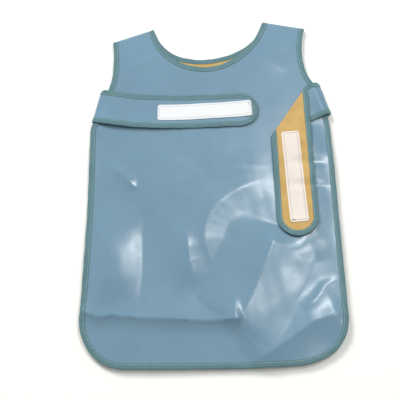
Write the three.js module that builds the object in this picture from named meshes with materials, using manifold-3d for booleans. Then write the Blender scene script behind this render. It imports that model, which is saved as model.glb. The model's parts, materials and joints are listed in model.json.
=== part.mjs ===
// Slip-over dental X-ray apron, lying flat on its rear panel and seen from above.
// Units are millimetres. +Z is up, +Y runs towards the shoulders, and +X is the viewer's right.
// The origin is the bottom centre of the whole apron, on the surface that it lies on.
import * as THREE from 'three';
import * as BufferGeometryUtils from 'three/addons/utils/BufferGeometryUtils.js';
import Module from 'manifold-3d';

const wasm = await Module();
wasm.setup();

// ---- thicknesses -------------------------------------------------------------------------
const GAP = 0.3;                 // clearance between touching layers
const COVER = 0.5;               // glossy vinyl outer cover
const LEAD = 1.0;                // lead-loaded vinyl sheet
const LINING = 0.4;              // woven lining
const TAPE = 0.6;                // one ply of the bias binding
const TAPE_WIDTH = 12;           // how far the binding reaches in from an edge
const HOOK_AND_LOOP_WIDTH = 38;
const HOOK_AND_LOOP_LENGTH = 210;
const LOOP_HEIGHT = 1.5;
const HOOK_HEIGHT = 1.8;

// ---- heights of the stacked layers -------------------------------------------------------
const PANEL_THICKNESS = 2 * TAPE + COVER + LEAD + LINING + 4 * GAP;
const STRAP_THICKNESS = 2 * TAPE + COVER + LINING + 3 * GAP;
const REAR_Z = 0;
const FRONT_Z = REAR_Z + PANEL_THICKNESS + 2.1;
const STRAP_Z = FRONT_Z + PANEL_THICKNESS + 1.3;
const TURNED_Z = STRAP_Z + STRAP_THICKNESS + 0.6;
const ROOT_Z = REAR_Z + PANEL_THICKNESS + 0.4;    // where a strap is sewn on to the rear panel
const ROOT_THICKNESS = COVER + LINING + GAP;
const FOLD_MIDDLE_Z = (REAR_Z + FRONT_Z + PANEL_THICKNESS) / 2;

// ---- the panels' outline, as points on the outer edge of the binding ---------------------
const NECK_LEFT = point(-136, 381);
const NECK_RIGHT = point(118, 401.3);
const SHOULDER_LEFT = point(-231, 345);
const SHOULDER_RIGHT = point(217, 383);
const UNDERARM_LEFT = point(-236.5, 217);
const UNDERARM_RIGHT = point(234, 231);
const STRAP_FOOT_LEFT = point(-260, 142);    // below this the edge is clear of the strap
const STRAP_FOOT_RIGHT = point(256.5, 154);
const SIDE_LEFT = point(-271, 118);
const SIDE_RIGHT = point(261, 125);
const HEM_TURN_LEFT = point(-271, -300);
const HEM_TURN_RIGHT = point(271, -290);
const HEM_LEFT = point(-175, -400);
const HEM_MIDDLE = point(60, -400);
const HEM_RIGHT = point(165, -393);
// A neckline's lowest point, and the points that pull its curve on the two sides of it.
const FRONT_NECK = { low: point(-18, 278.5), left: point(-124, 316), right: point(102, 334) };
const REAR_NECK = { low: point(-27, 302), left: point(-120, 330), right: point(106, 335) };
const REAR_INSET = 3;                        // the rear panel's sides and hem lie inside the front's
const SHOULDER_SETBACK = 5.4;                // from a shoulder's outermost line to its fold's axis
const LEAD_SETBACK = 10;                     // the lead sheets stop short of the shoulder folds
const SHOULDER_END_GAP = 2;                  // a fold is this much shorter than its shoulder at each end

// ---- straps ------------------------------------------------------------------------------
// Both hinge lines and the crease are axes, half-way up the turn of the cloth round them.
const LEFT_FOLD = { upper: point(-239.5, 217.5), lower: point(-262.5, 144.5) };
const RIGHT_FOLD = { upper: point(238.5, 231), lower: point(259.5, 157) };
const CREASE = { upper: point(214, 225), lower: point(131, 101) };
const ROOT_REACH = 20;                       // strap sewn over the rear panel's edge
const STRAP_START = 2.5;                     // from a hinge line to the flat of the strap
const LEFT_CAP = { centre: point(62, 168.5), radius: 40.5 };
const END_CAP = { centre: point(180, -78), radius: 44 };
const LOOP_STRIP = { centre: point(-18, 165.5), angle: 4.4 };
const HOOK_STRIP = { centre: point(175, 7), angle: 93.3 };
const STRIP_CORNER = 3;

// ---- materials ---------------------------------------------------------------------------
const MATERIALS = {
  cover: new THREE.MeshStandardMaterial({ color: '#7899af', roughness: 0.32, metalness: 0 }),
  lead: new THREE.MeshStandardMaterial({ color: '#3d4043', roughness: 0.8, metalness: 0 }),
  lining: new THREE.MeshStandardMaterial({ color: '#d2af70', roughness: 0.85, metalness: 0 }),
  binding: new THREE.MeshStandardMaterial({ color: '#5f8a8e', roughness: 0.8, metalness: 0 }),
  loop: new THREE.MeshStandardMaterial({ color: '#f8fafc', roughness: 0.95, metalness: 0 }),
  hook: new THREE.MeshStandardMaterial({ color: '#f0e8e2', roughness: 0.7, metalness: 0 }),
};

const apron = new THREE.Group();

// ---- helpers -----------------------------------------------------------------------------
function point(x, y) {
  return new THREE.Vector2(x, y);
}

function toSolid(geometry) {
  const bare = geometry.clone();
  bare.deleteAttribute('normal');
  bare.deleteAttribute('uv');
  const merged = BufferGeometryUtils.mergeVertices(bare);
  return new wasm.Manifold(new wasm.Mesh({
    numProp: 3,
    vertProperties: new Float32Array(merged.attributes.position.array),
    triVerts: new Uint32Array(merged.index.array),
  }));
}

function toGeometry(solid) {
  const mesh = solid.getMesh();
  const geometry = new THREE.BufferGeometry();
  geometry.setAttribute('position', new THREE.BufferAttribute(mesh.vertProperties, 3));
  geometry.setIndex(new THREE.BufferAttribute(mesh.triVerts, 1));
  geometry.computeVertexNormals();
  return geometry;
}

function addPiece(name, geometry, material) {
  const mesh = new THREE.Mesh(geometry, material);
  mesh.name = name;
  apron.add(mesh);
}

// A flat plate with the given outline between two heights.
function plate(points, bottom, top) {
  const geometry = new THREE.ExtrudeGeometry(new THREE.Shape(points), {
    depth: top - bottom,
    bevelEnabled: false,
  });
  return geometry.translate(0, 0, bottom);
}

// A point moved to the right of its way past its two neighbours, keeping the corner sharp.
function offsetPoint(before, here, after, distance) {
  const arriving = here.clone().sub(before).normalize();
  const leaving = after.clone().sub(here).normalize();
  const along = arriving.clone().add(leaving).normalize();
  const reach = distance / along.dot(arriving);
  return point(here.x + along.y * reach, here.y - along.x * reach);
}

function offsetLine(points, distance) {
  const last = points.length - 1;
  return points.map((here, i) => {
    const before = i > 0 ? points[i - 1] : here.clone().multiplyScalar(2).sub(points[1]);
    const after = i < last ? points[i + 1] : here.clone().multiplyScalar(2).sub(points[last - 1]);
    return offsetPoint(before, here, after, distance);
  });
}

function offsetLoop(points, distance) {
  const count = points.length;
  return points.map((here, i) => (
    offsetPoint(points[(i + count - 1) % count], here, points[(i + 1) % count], distance)
  ));
}

// The same line with both of its ends carried straight on by a distance.
function lengthenLine(points, distance) {
  const last = points.length - 1;
  const start = points[0].clone().sub(points[1]).setLength(distance).add(points[0]);
  const end = points[last].clone().sub(points[last - 1]).setLength(distance).add(points[last]);
  return [start, ...points.slice(1, last), end];
}

// The flat band that lies between two offsets of a line.
function band(points, outer, inner) {
  return [...offsetLine(points, outer), ...offsetLine(points, inner).reverse()];
}

// Tape folded over one edge of a cloth outline: both plies and the turn between them.
function bindingTape(edge, outline, bottom, top) {
  const whole = plate(band(edge, 0, -TAPE_WIDTH), bottom, top);
  const slot = plate(offsetLoop(outline, -TAPE), bottom + TAPE, top - TAPE);
  return toGeometry(toSolid(whole).subtract(toSolid(slot)));
}

// A solid whose upright section, drawn in outward distance and height, runs along a flat line.
function runAlong(section, from, to) {
  const along = to.clone().sub(from);
  const geometry = new THREE.ExtrudeGeometry(section, {
    depth: along.length(),
    bevelEnabled: false,
    curveSegments: 10,
  });
  along.normalize();
  const outward = new THREE.Vector3(along.y, -along.x, 0);
  const up = new THREE.Vector3(0, 0, 1);
  const forward = new THREE.Vector3().crossVectors(outward, up);
  const start = along.dot(point(forward.x, forward.y)) > 0 ? from : to;
  const placement = new THREE.Matrix4().makeBasis(outward, up, forward);
  placement.setPosition(start.x, start.y, 0);
  return geometry.applyMatrix4(placement);
}

// Half a ring of cloth that turns over at its outside, with a straight leg at each height.
function foldSection(middle, outerRadius, thickness, lowerLeg, upperLeg) {
  const section = new THREE.Shape();
  const innerRadius = outerRadius - thickness;
  section.moveTo(-lowerLeg, middle - outerRadius);
  section.lineTo(0, middle - outerRadius);
  section.absarc(0, middle, outerRadius, -Math.PI / 2, Math.PI / 2, false);
  section.lineTo(-upperLeg, middle + outerRadius);
  section.lineTo(-upperLeg, middle + innerRadius);
  section.lineTo(0, middle + innerRadius);
  section.absarc(0, middle, innerRadius, Math.PI / 2, -Math.PI / 2, true);
  section.lineTo(-lowerLeg, middle - innerRadius);
  return section;
}

function roundedStrip(length, width, corner) {
  const x = length / 2;
  const y = width / 2;
  const shape = new THREE.Shape();
  shape.moveTo(-x + corner, -y);
  shape.lineTo(x - corner, -y);
  shape.absarc(x - corner, -y + corner, corner, -Math.PI / 2, 0, false);
  shape.lineTo(x, y - corner);
  shape.absarc(x - corner, y - corner, corner, 0, Math.PI / 2, false);
  shape.lineTo(-x + corner, y);
  shape.absarc(-x + corner, y - corner, corner, Math.PI / 2, Math.PI, false);
  shape.lineTo(-x, -y + corner);
  shape.absarc(-x + corner, -y + corner, corner, Math.PI, 1.5 * Math.PI, false);
  return shape.getPoints(4);
}

// ---- the panels' edges, each running anticlockwise round the apron -----------------------
function leftArmhole() {
  const edge = new THREE.Path();
  edge.moveTo(SHOULDER_LEFT.x, SHOULDER_LEFT.y);
  edge.bezierCurveTo(-225, 310, -222, 250, UNDERARM_LEFT.x, UNDERARM_LEFT.y);
  return edge.getPoints(10);
}

function rightArmhole() {
  const edge = new THREE.Path();
  edge.moveTo(UNDERARM_RIGHT.x, UNDERARM_RIGHT.y);
  edge.bezierCurveTo(205, 265, 200, 325, SHOULDER_RIGHT.x, SHOULDER_RIGHT.y);
  return edge.getPoints(10);
}

function sidesAndHem() {
  const edge = new THREE.Path();
  edge.moveTo(UNDERARM_LEFT.x, UNDERARM_LEFT.y);
  edge.lineTo(STRAP_FOOT_LEFT.x, STRAP_FOOT_LEFT.y);
  edge.quadraticCurveTo(-269, 130, SIDE_LEFT.x, SIDE_LEFT.y);
  edge.quadraticCurveTo(-264, -90, HEM_TURN_LEFT.x, HEM_TURN_LEFT.y);
  edge.bezierCurveTo(-271, -345, -240, -400, HEM_LEFT.x, HEM_LEFT.y);
  edge.lineTo(HEM_MIDDLE.x, HEM_MIDDLE.y);
  edge.lineTo(HEM_RIGHT.x, HEM_RIGHT.y);
  edge.bezierCurveTo(240, -386, 271, -345, HEM_TURN_RIGHT.x, HEM_TURN_RIGHT.y);
  edge.lineTo(SIDE_RIGHT.x, SIDE_RIGHT.y);
  edge.lineTo(STRAP_FOOT_RIGHT.x, STRAP_FOOT_RIGHT.y);
  edge.lineTo(UNDERARM_RIGHT.x, UNDERARM_RIGHT.y);
  return edge.getPoints(8);
}

function neckline({ low, left, right }) {
  const edge = new THREE.Path();
  edge.moveTo(NECK_RIGHT.x, NECK_RIGHT.y);
  edge.bezierCurveTo(right.x, right.y, low.x + 58, low.y, low.x, low.y);
  edge.bezierCurveTo(low.x - 58, low.y, left.x, left.y, NECK_LEFT.x, NECK_LEFT.y);
  return edge.getPoints(10);
}

// ---- panels ------------------------------------------------------------------------------
// The panels stop at the fold's axis on each shoulder, where the shoulder folds take over.
function shoulderLine(from, to, setback) {
  return offsetLine([from, to], -setback);
}

const LEFT_SHOULDER = shoulderLine(NECK_LEFT, SHOULDER_LEFT, SHOULDER_SETBACK);
const RIGHT_SHOULDER = shoulderLine(SHOULDER_RIGHT, NECK_RIGHT, SHOULDER_SETBACK);

// Cuts a geometry off straight along both shoulder lines, a setback inside them.
function cutAtShoulders(geometry, setback) {
  let solid = toSolid(geometry);
  for (const line of [LEFT_SHOULDER, RIGHT_SHOULDER]) {
    const edge = lengthenLine(offsetLine(line, -setback), 8);
    solid = solid.subtract(toSolid(plate(band(edge, 40, 0), -1, TURNED_Z)));
  }
  return toGeometry(solid);
}

function panelEdges(neck, inset) {
  const side = sidesAndHem();
  const last = side.length - 1;
  return {
    left_armhole: leftArmhole(),
    side_and_hem: [side[0], ...offsetLine(side, -inset).slice(1, last), side[last]],
    right_armhole: rightArmhole(),
    neck: neckline(neck),
  };
}

// One panel's three layers and its four lengths of binding. The cover faces away from the wearer.
function addPanel(name, bottom, coverOnTop, neck, inset) {
  const edges = panelEdges(neck, inset);
  const outline = [
    ...edges.left_armhole.slice(0, -1),
    ...edges.side_and_hem.slice(0, -1),
    ...edges.right_armhole,
    ...edges.neck,
  ];
  const clothOutline = offsetLoop(outline, -TAPE - GAP);
  const layers = [
    ['lining', LINING, MATERIALS.lining, GAP],
    ['lead_sheet', LEAD, MATERIALS.lead, LEAD_SETBACK],
    ['cover', COVER, MATERIALS.cover, GAP],
  ];
  if (!coverOnTop) layers.reverse();
  let height = bottom + TAPE + GAP;
  for (const [layer, thickness, material, setback] of layers) {
    const sheet = cutAtShoulders(plate(clothOutline, height, height + thickness), setback);
    addPiece(`${name}_${layer}`, sheet, material);
    height += thickness + GAP;
  }
  for (const [place, edge] of Object.entries(edges)) {
    const tape = bindingTape(edge, outline, bottom, bottom + PANEL_THICKNESS);
    const fitted = place === 'side_and_hem' ? cutAtArmholeTapes(tape) : cutAtShoulders(tape, 0);
    addPiece(`${name}_${place}_binding`, fitted, MATERIALS.binding);
  }
}

// The side tape gives way to the armhole tapes at the underarms.
function cutAtArmholeTapes(tape) {
  let solid = toSolid(tape);
  for (const edge of [leftArmhole(), rightArmhole()]) {
    const room = band(lengthenLine(edge, GAP), GAP, -TAPE_WIDTH - GAP);
    solid = solid.subtract(toSolid(plate(room, -1, TURNED_Z)));
  }
  return toGeometry(solid);
}

// The cloth turned over a shoulder, from the rear panel's layer to the front panel's.
function addShoulderFold(name, line, layerBottom, thickness, material) {
  const outerRadius = FOLD_MIDDLE_Z - layerBottom;
  const section = foldSection(FOLD_MIDDLE_Z, outerRadius, thickness, 0, 0);
  const [from, to] = lengthenLine(line, -SHOULDER_END_GAP);
  addPiece(name, runAlong(section, from, to), material);
}

addPanel('rear', REAR_Z, false, REAR_NECK, REAR_INSET);
addPanel('front', FRONT_Z, true, FRONT_NECK, 0);

const REAR_COVER_Z = REAR_Z + TAPE + GAP;
const REAR_LINING_Z = REAR_COVER_Z + COVER + LEAD + 2 * GAP;
for (const [side, line] of [['left', LEFT_SHOULDER], ['right', RIGHT_SHOULDER]]) {
  addShoulderFold(`${side}_shoulder_cover_fold`, line, REAR_COVER_Z, COVER, MATERIALS.cover);
  addShoulderFold(`${side}_shoulder_lining_fold`, line, REAR_LINING_Z, LINING, MATERIALS.lining);
}

// ---- straps ------------------------------------------------------------------------------
// The bound edge of each strap, running anticlockwise from one end of its hinge line to the other.
function leftStrapEdge() {
  const { centre, radius } = LEFT_CAP;
  const edge = new THREE.Path();
  edge.moveTo(LEFT_FOLD.lower.x, LEFT_FOLD.lower.y);
  edge.bezierCurveTo(-170, 118, -90, 124, centre.x, centre.y - radius);
  edge.absarc(centre.x, centre.y, radius, -Math.PI / 2, Math.PI / 2, false);
  edge.bezierCurveTo(-60, 203, -150, 190, LEFT_FOLD.upper.x, LEFT_FOLD.upper.y);
  return edge.getPoints(8);
}

function rightEndEdge() {
  const { centre, radius } = END_CAP;
  const edge = new THREE.Path();
  edge.moveTo(CREASE.lower.x, CREASE.lower.y);
  edge.quadraticCurveTo(133, 20, centre.x - radius, centre.y);
  edge.absarc(centre.x, centre.y, radius, Math.PI, 2 * Math.PI, false);
  edge.quadraticCurveTo(213, 60, CREASE.upper.x, CREASE.upper.y);
  return edge.getPoints(8);
}

// Takes off whatever lies beyond a line, or nearer to it than a setback.
function cutBeyond(geometry, from, to, setback) {
  const line = lengthenLine(offsetLine([from, to], -setback), TAPE_WIDTH);
  const room = plate(band(line, LEFT_CAP.radius, 0), -1, TURNED_Z + STRAP_THICKNESS + 1);
  return toGeometry(toSolid(geometry).subtract(toSolid(room)));
}

// The cover and lining of a strap, stacked upwards from its lowest ply of binding.
function addStrapLayers(name, outline, bottom, coverOnTop, trim) {
  const layers = [
    ['lining', LINING, MATERIALS.lining],
    ['cover', COVER, MATERIALS.cover],
  ];
  if (!coverOnTop) layers.reverse();
  let height = bottom + TAPE + GAP;
  for (const [layer, thickness, material] of layers) {
    addPiece(`${name}_${layer}`, trim(plate(outline, height, height + thickness)), material);
    height += thickness + GAP;
  }
}

// The doubled cloth of a strap, turning over between two heights round a hinge line.
function strapTurn(from, to, lowerZ, upperZ, lowerLeg) {
  const outerRadius = (upperZ + ROOT_THICKNESS - lowerZ) / 2;
  const section = foldSection(lowerZ + outerRadius, outerRadius, ROOT_THICKNESS, lowerLeg, STRAP_START - GAP);
  return runAlong(section, from, to);
}

function addLeftStrap() {
  const { upper, lower } = LEFT_FOLD;
  const trim = (geometry) => cutBeyond(geometry, upper, lower, STRAP_START);
  const edge = leftStrapEdge();
  const outline = lengthenLine(edge, TAPE_WIDTH);
  const root = strapTurn(upper, lower, ROOT_Z, STRAP_Z + TAPE + GAP, ROOT_REACH);
  addPiece('left_strap_root', root, MATERIALS.cover);
  addStrapLayers('left_strap', offsetLoop(outline, -TAPE - GAP), STRAP_Z, true, trim);
  const tape = bindingTape(edge, outline, STRAP_Z, STRAP_Z + STRAP_THICKNESS);
  addPiece('left_strap_binding', trim(tape), MATERIALS.binding);
  addFastener('left_strap_loop_strip', LOOP_STRIP, STRAP_Z, LOOP_HEIGHT, MATERIALS.loop);
}

// A strip of hook or loop tape, sewn on top of a strap and clear of the strap's binding.
function addFastener(name, { centre, angle }, strapBottom, height, material) {
  const surface = strapBottom + STRAP_THICKNESS + GAP;
  const outline = roundedStrip(HOOK_AND_LOOP_LENGTH, HOOK_AND_LOOP_WIDTH, STRIP_CORNER);
  const strip = plate(outline, surface, surface + height);
  strip.rotateZ(THREE.MathUtils.degToRad(angle));
  addPiece(name, strip.translate(centre.x, centre.y, 0), material);
}

function addRightStrap() {
  const { upper, lower } = RIGHT_FOLD;
  const trim = (geometry) => {
    const clearOfFold = cutBeyond(geometry, lower, upper, STRAP_START);
    return cutBeyond(clearOfFold, CREASE.upper, CREASE.lower, STRAP_START);
  };
  const lowerEdge = [CREASE.lower, lower];
  const upperEdge = [upper, CREASE.upper];
  const outline = [...lengthenLine(lowerEdge, TAPE_WIDTH), ...lengthenLine(upperEdge, TAPE_WIDTH)];
  const root = strapTurn(lower, upper, ROOT_Z, STRAP_Z + TAPE + GAP, ROOT_REACH);
  addPiece('right_strap_root', root, MATERIALS.cover);
  addStrapLayers('right_strap', offsetLoop(outline, -TAPE - GAP), STRAP_Z, true, trim);
  for (const [place, edge] of [['lower', lowerEdge], ['upper', upperEdge]]) {
    const tape = bindingTape(edge, outline, STRAP_Z, STRAP_Z + STRAP_THICKNESS);
    addPiece(`right_strap_${place}_binding`, trim(tape), MATERIALS.binding);
  }
}

// The right strap's free end, turned over along a slanting crease so that its lining shows.
function addRightStrapEnd() {
  const { upper, lower } = CREASE;
  const trim = (geometry) => cutBeyond(geometry, upper, lower, STRAP_START);
  const edge = rightEndEdge();
  const outline = lengthenLine(edge, TAPE_WIDTH);
  const turn = strapTurn(upper, lower, STRAP_Z + TAPE + GAP, TURNED_Z + TAPE + GAP, STRAP_START - GAP);
  addPiece('right_strap_turn', turn, MATERIALS.cover);
  addStrapLayers('right_strap_end', offsetLoop(outline, -TAPE - GAP), TURNED_Z, false, trim);
  const tape = bindingTape(edge, outline, TURNED_Z, TURNED_Z + STRAP_THICKNESS);
  addPiece('right_strap_end_binding', trim(tape), MATERIALS.binding);
  addFastener('right_strap_hook_strip', HOOK_STRIP, TURNED_Z, HOOK_HEIGHT, MATERIALS.hook);
}

addLeftStrap();
addRightStrap();
addRightStrapEnd();

export default apron;
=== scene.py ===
# A slip-over dental lead apron lying flat on its rear panel. All lengths are in metres.
# Cloth is laid out flat first, as it was cut, and a "place" function then carries it into space.
import json
import math

import bpy
import numpy as np
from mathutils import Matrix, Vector
from mathutils.geometry import delaunay_2d_cdt
from mathutils.kdtree import KDTree


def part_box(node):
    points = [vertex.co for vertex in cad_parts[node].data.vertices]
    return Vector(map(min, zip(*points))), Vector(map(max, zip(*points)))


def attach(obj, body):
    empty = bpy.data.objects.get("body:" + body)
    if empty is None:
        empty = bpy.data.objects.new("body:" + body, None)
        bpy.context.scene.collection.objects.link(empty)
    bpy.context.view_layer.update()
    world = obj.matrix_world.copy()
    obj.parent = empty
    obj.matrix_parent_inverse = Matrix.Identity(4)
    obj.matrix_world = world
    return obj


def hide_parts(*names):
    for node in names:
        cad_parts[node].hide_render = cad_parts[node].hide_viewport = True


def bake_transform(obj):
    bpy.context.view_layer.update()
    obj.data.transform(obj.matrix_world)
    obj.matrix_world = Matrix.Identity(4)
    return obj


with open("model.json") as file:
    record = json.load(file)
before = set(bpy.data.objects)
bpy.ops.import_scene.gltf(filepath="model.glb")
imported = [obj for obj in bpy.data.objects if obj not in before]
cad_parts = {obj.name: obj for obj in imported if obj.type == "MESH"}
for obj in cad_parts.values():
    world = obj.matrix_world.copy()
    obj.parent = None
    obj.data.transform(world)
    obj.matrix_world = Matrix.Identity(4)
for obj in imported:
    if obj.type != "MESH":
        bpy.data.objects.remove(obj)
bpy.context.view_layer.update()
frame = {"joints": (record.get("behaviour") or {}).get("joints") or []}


# ---- the layers' thicknesses and heights ----
COVER = 0.0005
LINING = 0.0004
TAPE = 0.0006
TAPE_WIDTH = 0.012
PANEL_HALF = 0.00215              # half of a panel's whole stack, binding included
STRAP_HALF = 0.00130
COVER_ON_PANEL = 0.00075          # the cover's inner face, from the panel's middle surface
COVER_ON_STRAP = 0.00010
LINING_ON_PANEL = -0.00085
# The two faces of the cover, the lead sheet and the lining, from a panel's middle surface outwards.
PANEL_LAYERS = (
    (COVER_ON_PANEL + COVER, COVER_ON_PANEL),
    (0.00045, -0.00055),
    (LINING_ON_PANEL, LINING_ON_PANEL - LINING),
)
FLOOR_Z = 0.0                     # what the apron lies on, and is pressed flat against
PLAY = 0.0004                     # air between pieces of cloth that rest on each other

FRONT_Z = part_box("front_cover")[1][2] - COVER_ON_PANEL - COVER    # the front panel's middle surface
REAR_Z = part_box("rear_cover")[0][2] + COVER_ON_PANEL + COVER
FOLD_MIDDLE_Z = (FRONT_Z + REAR_Z) / 2
SHOULDER_RADIUS = (FRONT_Z - REAR_Z) / 2
LOWEST_DIP = 0.0011               # the front panel never sags further than this towards the rear

JOINTS = {joint["name"]: joint for joint in frame["joints"]}


def at(x, y):
    return np.array([x, y], float)


def unit(vector):
    return np.asarray(vector, float) / np.linalg.norm(vector)


# ---- small mathematics ----
def ease(x):
    x = np.clip(x, 0.0, 1.0)
    return x * x * (3 - 2 * x)


def hump(x):
    return np.exp(-np.square(x))


def bezier(start, pull_start, pull_end, end, count=60):
    t = np.linspace(0, 1, count)[:, None]
    return (
        start * (1 - t) ** 3
        + 3 * pull_start * t * (1 - t) ** 2
        + 3 * pull_end * t**2 * (1 - t)
        + end * t**3
    )


def join(*lines):
    parts = [lines[0]] + [line[1:] for line in lines[1:]]
    return np.vstack(parts)


def lengths_along(line):
    steps = np.linalg.norm(np.diff(line, axis=0), axis=1)
    return np.concatenate([[0], np.cumsum(steps)])


def part_way(stops, total, values):
    """Rows of values, known at some distances along a line, read off at other distances."""
    return np.column_stack([np.interp(stops, total, column) for column in values.T])


def resample(line, spacing):
    total = lengths_along(line)
    stops = np.linspace(0, total[-1], max(2, round(total[-1] / spacing) + 1))
    return part_way(stops, total, line)


def rounded(line, spacing, reach):
    """The line resampled evenly, with its corners rounded off over about a reach."""
    line = resample(line, spacing)
    half = max(1, round(reach / spacing))
    weights = hump(np.arange(-half, half + 1) / (half / 2))
    weights /= weights.sum()
    first = 2 * line[0] - line[1 : half + 1][::-1]
    last = 2 * line[-1] - line[-half - 1 : -1][::-1]
    padded = np.vstack([first, line, last])
    return np.column_stack([np.convolve(padded[:, k], weights, "valid") for k in (0, 1)])


def tangents(line):
    return np.apply_along_axis(unit, 1, np.gradient(line, axis=0))


def outward(line):
    """For a line that runs anticlockwise round a shape, the unit vectors that point out of it."""
    along = tangents(line)
    return np.column_stack([along[:, 1], -along[:, 0]])


def soft_noise(flat, wavelength, seed, waves=9):
    """Smooth random ripples between about -1 and 1."""
    random = np.random.default_rng(seed)
    heading = random.uniform(0, 2 * math.pi, waves)
    length = wavelength * random.uniform(0.7, 1.6, waves)
    phase = random.uniform(0, 2 * math.pi, waves)
    wave = np.column_stack([np.cos(heading), np.sin(heading)]) * (2 * math.pi / length)[:, None]
    return np.sin(flat @ wave.T + phase).sum(axis=1) / math.sqrt(waves)


def beside(flat, path):
    """Signed distance of points from a path, positive on its left, and how far along it they are."""
    nearest = np.full(len(flat), np.inf)
    signed = np.zeros(len(flat))
    along = np.zeros(len(flat))
    total = lengths_along(path)
    for i in range(len(path) - 1):
        step = path[i + 1] - path[i]
        part = np.clip(((flat - path[i]) @ step) / (step @ step), 0, 1)
        gap = flat - (path[i] + part[:, None] * step)
        distance = np.linalg.norm(gap, axis=1)
        closer = distance < nearest
        side = np.sign(step[0] * gap[:, 1] - step[1] * gap[:, 0])
        nearest = np.where(closer, distance, nearest)
        signed = np.where(closer, distance * side, signed)
        here = (total[i] + part * (total[i + 1] - total[i])) / total[-1]
        along = np.where(closer, here, along)
    return signed, along


def crease(flat, path, height, left_width, right_width, fade=0.25, power=2.0, end_fade=None):
    """A sharp-topped fold along a path that eases down over its own width on each side."""
    signed, along = beside(flat, path)
    end_fade = end_fade or fade
    width = np.where(signed > 0, left_width, right_width)
    slope = np.clip(1 - np.abs(signed) / width, 0, 1) ** power
    ends = ease(along / fade) * ease((1 - along) / end_fade)
    return height * slope * ends


def left_flank(distance, height=0.0105, width=0.112, peak=0.070):
    """A broad swell that starts sharply at a valley, peaks and falls off gently."""
    rise = 1 - (1 - np.clip(distance / peak, 0, 1)) ** 1.4
    fall = ease((width - distance) / (width - peak))
    return height * np.minimum(rise, fall)


# ---- the panels' outline ----
NECK_LEFT = at(-0.136, 0.381)
NECK_RIGHT = at(0.118, 0.4013)
SHOULDER_LEFT = at(-0.231, 0.345)
SHOULDER_RIGHT = at(0.217, 0.383)
UNDERARM_LEFT = at(-0.2365, 0.217)
UNDERARM_RIGHT = at(0.234, 0.231)
STRAP_FOOT_LEFT = at(-0.260, 0.142)
STRAP_FOOT_RIGHT = at(0.2565, 0.154)
SIDE_LEFT = at(-0.271, 0.118)
SIDE_RIGHT = at(0.261, 0.125)
HEM_TURN_LEFT = at(-0.271, -0.300)
HEM_TURN_RIGHT = at(0.271, -0.290)
HEM_LEFT = at(-0.175, -0.400)
HEM_RIGHT = at(0.165, -0.393)
LOWER_RIGHT_CORNER = at(0.235, -0.370)
# A neckline's lowest point, and the points that pull its curve on the left and right of it.
FRONT_NECK = at(-0.018, 0.2785), at(-0.124, 0.316), at(0.102, 0.334)
REAR_NECK = at(-0.027, 0.302), at(-0.120, 0.330), at(0.106, 0.335)
REAR_INSET = 0.003
EDGE_SPACING = 0.0025             # of the points along the outline
CURVE_SPACING = 0.0014            # and where a tape follows a tight curve
CORNER_REACH = 0.010


class TurnLine:
    """A line that cloth turns over: a point on it, and unit vectors along and out of it."""

    def __init__(self, middle, along, outward_of):
        self.middle = np.array(middle, float)
        self.along = unit(along)
        self.out = at(self.along[1], -self.along[0])
        if self.out @ outward_of < 0:
            self.out = -self.out

    def beyond(self, flat):
        return (flat - self.middle) @ self.out


class Shoulder(TurnLine):
    """The line that both panels turn over on one shoulder."""

    def __init__(self, neck, tip):
        super().__init__(tip, neck - tip, at(0, 1))
        self.middle -= self.out * (SHOULDER_RADIUS + PANEL_HALF)
        self.length = np.linalg.norm(neck - tip)

    def on_its_side(self, flat):
        return np.sign(self.middle[0]) * flat[:, 0] > 0


LEFT_SHOULDER = Shoulder(NECK_LEFT, SHOULDER_LEFT)
RIGHT_SHOULDER = Shoulder(NECK_RIGHT, SHOULDER_RIGHT)
SHOULDERS = LEFT_SHOULDER, RIGHT_SHOULDER
QUARTER_TURN = SHOULDER_RADIUS * math.pi / 2
SHOULDER_EASE = 0.045             # a panel's ripples die out over this length before a shoulder


def level_at_shoulders(lift, flat):
    for shoulder in SHOULDERS:
        levelled = lift * ease(-shoulder.beyond(flat) / SHOULDER_EASE)
        lift = np.where(shoulder.on_its_side(flat), levelled, lift)
    return lift


def up_to_shoulder(line, shoulder):
    """Ends a line that runs up to a shoulder a quarter turn past the axis, where the seam is."""
    room = QUARTER_TURN - shoulder.beyond(line[-1][None])[0]
    heading = unit(line[-1] - line[-2])
    return np.vstack([line[:-1], line[-1] + heading * room / (heading @ shoulder.out)])


def left_armhole():
    line = bezier(SHOULDER_LEFT, at(-0.225, 0.310), at(-0.222, 0.250), UNDERARM_LEFT)
    return up_to_shoulder(line[::-1], LEFT_SHOULDER)[::-1]


def right_armhole():
    line = bezier(UNDERARM_RIGHT, at(0.205, 0.265), at(0.200, 0.325), SHOULDER_RIGHT)
    return up_to_shoulder(line, RIGHT_SHOULDER)


def sides_and_hem():
    left_turn = bezier(HEM_TURN_LEFT, at(-0.271, -0.345), at(-0.240, -0.400), HEM_LEFT)
    right_turn = bezier(HEM_RIGHT, at(0.240, -0.386), at(0.271, -0.345), HEM_TURN_RIGHT)
    side = bezier(SIDE_LEFT, at(-0.266, -0.02), at(-0.266, -0.16), HEM_TURN_LEFT)
    line = join(
        np.array([UNDERARM_LEFT, STRAP_FOOT_LEFT]),
        bezier(STRAP_FOOT_LEFT, at(-0.266, 0.134), at(-0.270, 0.130), SIDE_LEFT, 12),
        side,
        left_turn,
        bezier(HEM_LEFT, at(-0.06, -0.400), at(0.06, -0.4005), HEM_RIGHT),
        right_turn,
        np.array([HEM_TURN_RIGHT, SIDE_RIGHT, STRAP_FOOT_RIGHT, UNDERARM_RIGHT]),
    )
    return line


def neckline(low, left_pull, right_pull):
    right = bezier(low, low + at(0.058, 0), right_pull, NECK_RIGHT)
    left = bezier(NECK_LEFT, left_pull, low - at(0.058, 0), low)
    right = up_to_shoulder(right, RIGHT_SHOULDER)
    left = up_to_shoulder(left[::-1], LEFT_SHOULDER)[::-1]
    return join(left, right)[::-1]


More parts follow.
